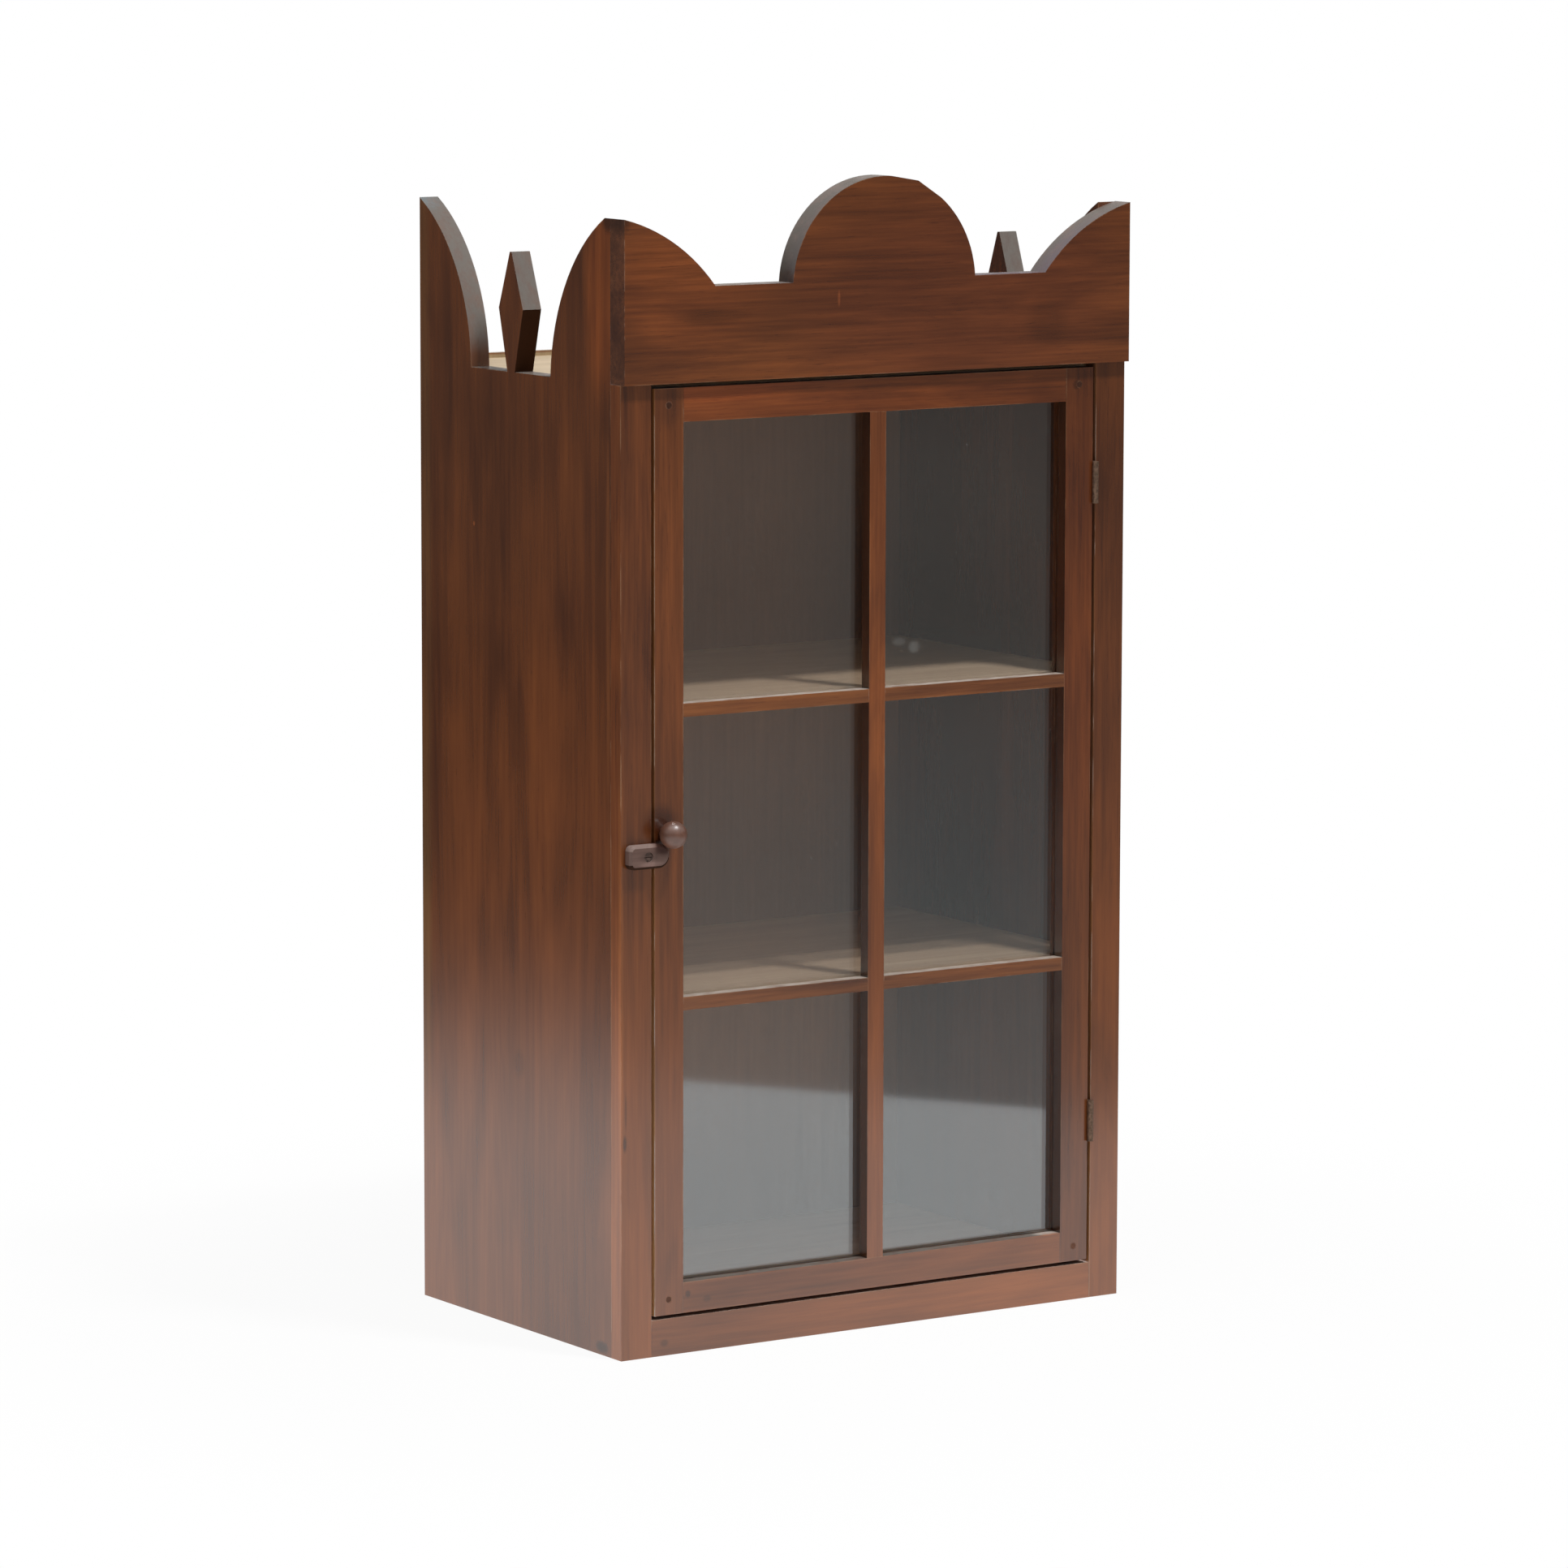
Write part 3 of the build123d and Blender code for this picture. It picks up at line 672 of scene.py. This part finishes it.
def screw_head(name, centre, side, turn):
    """A slotted head set in a hinge leaf and facing along X by side."""
    radius = SCREW_HEAD / 2
    half_slot = SCREW_SLOT / 2
    gap = math.asin(half_slot / radius)
    mesh = bmesh.new()
    for half, sign in ((0, 1), (1, -1)):
        start, end = half * math.pi + gap, (half + 1) * math.pi - gap
        angles = [
            start + (end - start) * step / SCREW_STEPS for step in range(SCREW_STEPS + 1)
        ]
        rings = []
        for scale, height in (
            (1.0, -SCREW_SUNK),
            (1.0, SCREW_SHOULDER),
            (SCREW_TOP, SCREW_PROUD),
        ):
            ring = []
            for angle in angles:
                across = abs(radius * math.sin(angle)) * scale
                along = radius * math.cos(angle) * scale
                ring.append(mesh.verts.new((along, sign * max(half_slot, across), height)))
            rings.append(ring)
        for low, high in zip(rings, rings[1:]):
            for k in range(len(low)):
                after = (k + 1) % len(low)
                mesh.faces.new((low[k], low[after], high[after], high[k]))
        mesh.faces.new(rings[-1])
        mesh.faces.new(list(reversed(rings[0])))
    half_length = SLOT_LENGTH * radius
    floor = [
        mesh.verts.new((x, y, z))
        for z in (-SCREW_SUNK, SLOT_FLOOR)
        for x, y in (
            (-half_length, -half_slot),
            (half_length, -half_slot),
            (half_length, half_slot),
            (-half_length, half_slot),
        )
    ]
    sides = [(k, (k + 1) % 4, (k + 1) % 4 + 4, k + 4) for k in range(4)]
    for loop in ((3, 2, 1, 0), (4, 5, 6, 7), *sides):
        mesh.faces.new([floor[k] for k in loop])
    place = (
        Matrix.Translation(centre)
        @ Matrix.Rotation(side * math.pi / 2, 4, "Y")
        @ Matrix.Rotation(turn, 4, "Z")
    )
    bmesh.ops.transform(mesh, matrix=place, verts=mesh.verts)
    data = bpy.data.meshes.new(name)
    mesh.to_mesh(data)
    mesh.free()
    return link_object(name, data)


steel = metal("screw_steel", STEEL_LIGHT, rough=0.38, seed=9)
for side in ("upper", "lower"):
    for part, body, facing in (("frame_leaf", "case", -1), ("door_leaf", "door", 1)):
        low, high = (Vector(corner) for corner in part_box(f"{side}_hinge_{part}"))
        face = low.x if facing < 0 else high.x
        for row, step in enumerate((-0.5, 0.5)):
            height = (low.z + high.z) / 2 + step * SCREW_PITCH
            centre = Vector((face, high.y - SCREW_INSET, height))
            label = f"{side}_{part}_screw_{row + 1}"
            # The slots were left at different angles.
            turn = 0.4 + 1.1 * row + 0.7 * facing
            screw = screw_head(label, centre, facing, turn)
            screw.data.materials.append(steel)
            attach(screw, body)


# Stage: everything on it is turned so that its Y runs away from the camera

VIEW_YAW = math.radians(33.448)
PAPER_LEFT, PAPER_RIGHT = -1.50, 0.77
PAPER_NEAR, PAPER_FAR, PAPER_TOP = -2.2, 2.6, 2.6
PAPER_GREY = (0.85, 0.85, 0.85)
PAPER_BOUNCE = 1.75
# Share of the matte paper, with the object's shadow, that the camera sees near the object,
# and the distances from the object between which it gives way to white.
PAPER_SHADOW = 0.06
SHADOW_ENDS = (0.25, 0.70)
# Brightness of the mirrored paper's left edge, and where across it turns to white.
PAPER_EDGE = 0.08
PAPER_EDGE_ENDS = (-1.45, -0.65)

ROOM = 3.6
ROOM_TOP = 2.4
ROOM_FLOOR = -0.002
# Colours of the floor at shares of this distance from the object.
FLOOR_REACH = 4.0
FLOOR_STOPS = (
    (0.22, (0.345, 0.340, 0.335)),
    (0.33, (0.280, 0.285, 0.280)),
    (0.52, (0.225, 0.230, 0.228)),
    (0.95, (0.175, 0.162, 0.150)),
)
# Brightness of the floor's left side, and where across it grows to full.
FLOOR_LEFT = 0.22
FLOOR_LEFT_ENDS = (-1.2, 0.4)
WALL_DARK = (0.085, 0.082, 0.078)
WALL_FOOT = (0.175, 0.160, 0.148)
# Where the walls' grey foot starts and is full, by height and across, and where by height
# they turn to white.
WALL_FOOT_ENDS = (0.50, 0.10)
WALL_RIGHT_ENDS = (0.0, 1.5)
WALL_WHITE_ENDS = (1.0, 2.0)
# Direction on the stage across what the door's glass mirrors, where along it the left panes'
# share starts and is full, and where across the stage it does so.
BEAM = (0.389, 0.910)
BEAM_ENDS = (0.03, -0.13)
BEAM_RIGHT_ENDS = (0.1, 0.5)
LEFT_PANE_GAIN = (1.48, 1.23, 1.12)
# Kinds of ray that pass by the backdrop, the floor and the walls.
UNSEEN = ("camera", "diffuse", "transmission", "shadow")

LIGHT_TARGET = (0.0, 0.0, 0.35)
ROOM_LIGHT = 0.17

CAMERA_PLACE = (-2.36945, -3.59157, 0.90431)
CAMERA_PITCH = math.radians(7.763)
CAMERA_ROLL = math.radians(0.126)
CAMERA_LENS = 163.917
SENSOR_WIDTH = 36.0


def light_rays(tree, *kinds):
    """1 for the kinds of ray named, 0 for the rest."""
    path = tree.nodes.new("ShaderNodeLightPath")
    seen = path.outputs[kinds[0]]
    for kind in kinds[1:]:
        seen = math_node(tree, "MAXIMUM", seen, path.outputs[kind])
    return seen


def stage_mesh(name, corners, loops, material, hidden=()):
    """A mesh of the stage, hidden from some kinds of ray."""
    mesh = bpy.data.meshes.new(name)
    mesh.from_pydata(corners, [], loops)
    mesh.materials.append(material)
    piece = link_object(name, mesh)
    piece.rotation_euler.z = -VIEW_YAW
    for kind in hidden:
        setattr(piece, "visible_" + kind, False)


def distance_from_object(tree):
    """Distance in metres from the middle of the floor under the object."""
    return vector_number(tree, "LENGTH", own_place(tree))


def paper_material():
    """White paper, which the camera sees as white apart from the object's shadow."""
    material, tree = new_tree("paper")
    matte = add(tree, "ShaderNodeBsdfDiffuse", Color=PAPER_GREY)
    away = level(tree, distance_from_object(tree), *SHADOW_ENDS)
    plain = math_node(tree, "MULTIPLY_ADD", away, PAPER_SHADOW, 1 - PAPER_SHADOW)
    lit = mix_shader(tree, plain, matte, glow(tree, WHITE))
    bounce = glow(tree, WHITE, PAPER_BOUNCE)
    camera = mix_shader(tree, light_rays(tree, "Is Camera Ray"), bounce, lit)
    inner = level(tree, axes(tree, own_place(tree))[0], *PAPER_EDGE_ENDS)
    bright = math_node(tree, "MULTIPLY_ADD", inner, 1 - PAPER_EDGE, PAPER_EDGE)
    mirrored = glow(tree, WHITE, bright)
    surface(tree, mix_shader(tree, light_rays(tree, "Is Glossy Ray"), camera, mirrored))
    return material


def left_pane_mask(tree):
    """1 where the stage is mirrored in the door's left panes, 0 where in its right ones."""
    x, y, _ = axes(tree, own_place(tree))
    beam = math_node(tree, "MULTIPLY", x, BEAM[0])
    beam = math_node(tree, "MULTIPLY_ADD", y, BEAM[1], beam)
    left = level(tree, beam, *BEAM_ENDS)
    return math_node(tree, "MULTIPLY", left, level(tree, x, *BEAM_RIGHT_ENDS))


def studio_floor_material():
    """Grey floor around the paper, lit on the right."""
    material, tree = new_tree("studio_floor")
    away = math_node(tree, "DIVIDE", distance_from_object(tree), FLOOR_REACH)
    shade = ramp(tree, away, FLOOR_STOPS)
    shade = gain_colour(tree, shade, left_pane_mask(tree), LEFT_PANE_GAIN)
    right = level(tree, axes(tree, own_place(tree))[0], *FLOOR_LEFT_ENDS)
    lit = math_node(tree, "MULTIPLY_ADD", right, 1 - FLOOR_LEFT, FLOOR_LEFT)
    surface(tree, glow(tree, shade, lit))
    return material


def studio_wall_material():
    """Grey at the foot on the right, dark above it, and white at the top."""
    material, tree = new_tree("studio_walls")
    x, _, z = axes(tree, own_place(tree))
    right = level(tree, x, *WALL_RIGHT_ENDS)
    low = math_node(tree, "MULTIPLY", level(tree, z, *WALL_FOOT_ENDS), right)
    colour = mix_colour(tree, low, WALL_DARK, WALL_FOOT)
    colour = gain_colour(tree, colour, left_pane_mask(tree), LEFT_PANE_GAIN)
    colour = mix_colour(tree, level(tree, z, *WALL_WHITE_ENDS), colour, WHITE)
    surface(tree, glow(tree, colour))
    return material


def backdrop_material():
    """Plain white."""
    material, tree = new_tree("backdrop")
    surface(tree, glow(tree, WHITE))
    return material


stage_mesh(
    "paper",
    [
        (PAPER_LEFT, PAPER_NEAR, 0),
        (PAPER_RIGHT, PAPER_NEAR, 0),
        (PAPER_RIGHT, PAPER_FAR, 0),
        (PAPER_LEFT, PAPER_FAR, 0),
    ],
    [(0, 1, 2, 3)],
    paper_material(),
)
stage_mesh(
    "backdrop",
    [
        (PAPER_LEFT, PAPER_FAR, 0),
        (PAPER_RIGHT, PAPER_FAR, 0),
        (PAPER_RIGHT, PAPER_FAR, PAPER_TOP),
        (PAPER_LEFT, PAPER_FAR, PAPER_TOP),
    ],
    [(0, 1, 2, 3)],
    backdrop_material(),
    UNSEEN,
)
room_corners = [
    (x, y, z) for z in (ROOM_FLOOR, ROOM_TOP) for y in (-ROOM, ROOM) for x in (-ROOM, ROOM)
]
stage_mesh(
    "studio_floor", room_corners[:4], [(0, 1, 3, 2)], studio_floor_material(), UNSEEN
)
stage_mesh(
    "studio_walls",
    room_corners,
    [(0, 1, 5, 4), (2, 3, 7, 6), (0, 2, 6, 4), (1, 3, 7, 5)],
    studio_wall_material(),
    UNSEEN,
)


# Lights and camera


def area_light(name, place, size, power):
    """A rectangular lamp that faces the object."""
    light = bpy.data.lights.new(name, "AREA")
    light.shape = "RECTANGLE"
    light.size, light.size_y = size
    light.energy = power
    lamp = link_object(name, light)
    lamp.location = place
    aim = Vector(LIGHT_TARGET) - Vector(place)
    lamp.rotation_euler = aim.to_track_quat("-Z", "Y").to_euler()


area_light("key", place=(0.25, -0.92, 2.30), size=(0.22, 0.20), power=35)
area_light("sky", place=(-0.7, -0.5, 2.9), size=(2.0, 2.0), power=22)

world = bpy.data.worlds.new("studio_light")
bpy.context.scene.world = world
world.use_nodes = True
tree = world.node_tree
tree.nodes.clear()
room = add(tree, "ShaderNodeBackground", Color=WHITE, Strength=ROOM_LIGHT)
white = add(tree, "ShaderNodeBackground", Color=WHITE, Strength=1.0)
seen = light_rays(tree, "Is Camera Ray", "Is Glossy Ray", "Is Transmission Ray")
mixed = mix_shader(tree, seen, room, white)
world_output = tree.nodes.new("ShaderNodeOutputWorld")
tree.links.new(mixed.outputs[0], world_output.inputs[0])

camera_data = bpy.data.cameras.new("camera")
camera_data.sensor_width = SENSOR_WIDTH
camera_data.lens = CAMERA_LENS
camera = link_object("camera", camera_data)
camera.matrix_world = (
    Matrix.Translation(CAMERA_PLACE)
    @ Matrix.Rotation(-VIEW_YAW, 4, "Z")
    @ Matrix.Rotation(math.pi / 2 - CAMERA_PITCH, 4, "X")
    @ Matrix.Rotation(CAMERA_ROLL, 4, "Z")
)
bpy.context.scene.camera = camera
bpy.context.scene.view_settings.view_transform = "Standard"
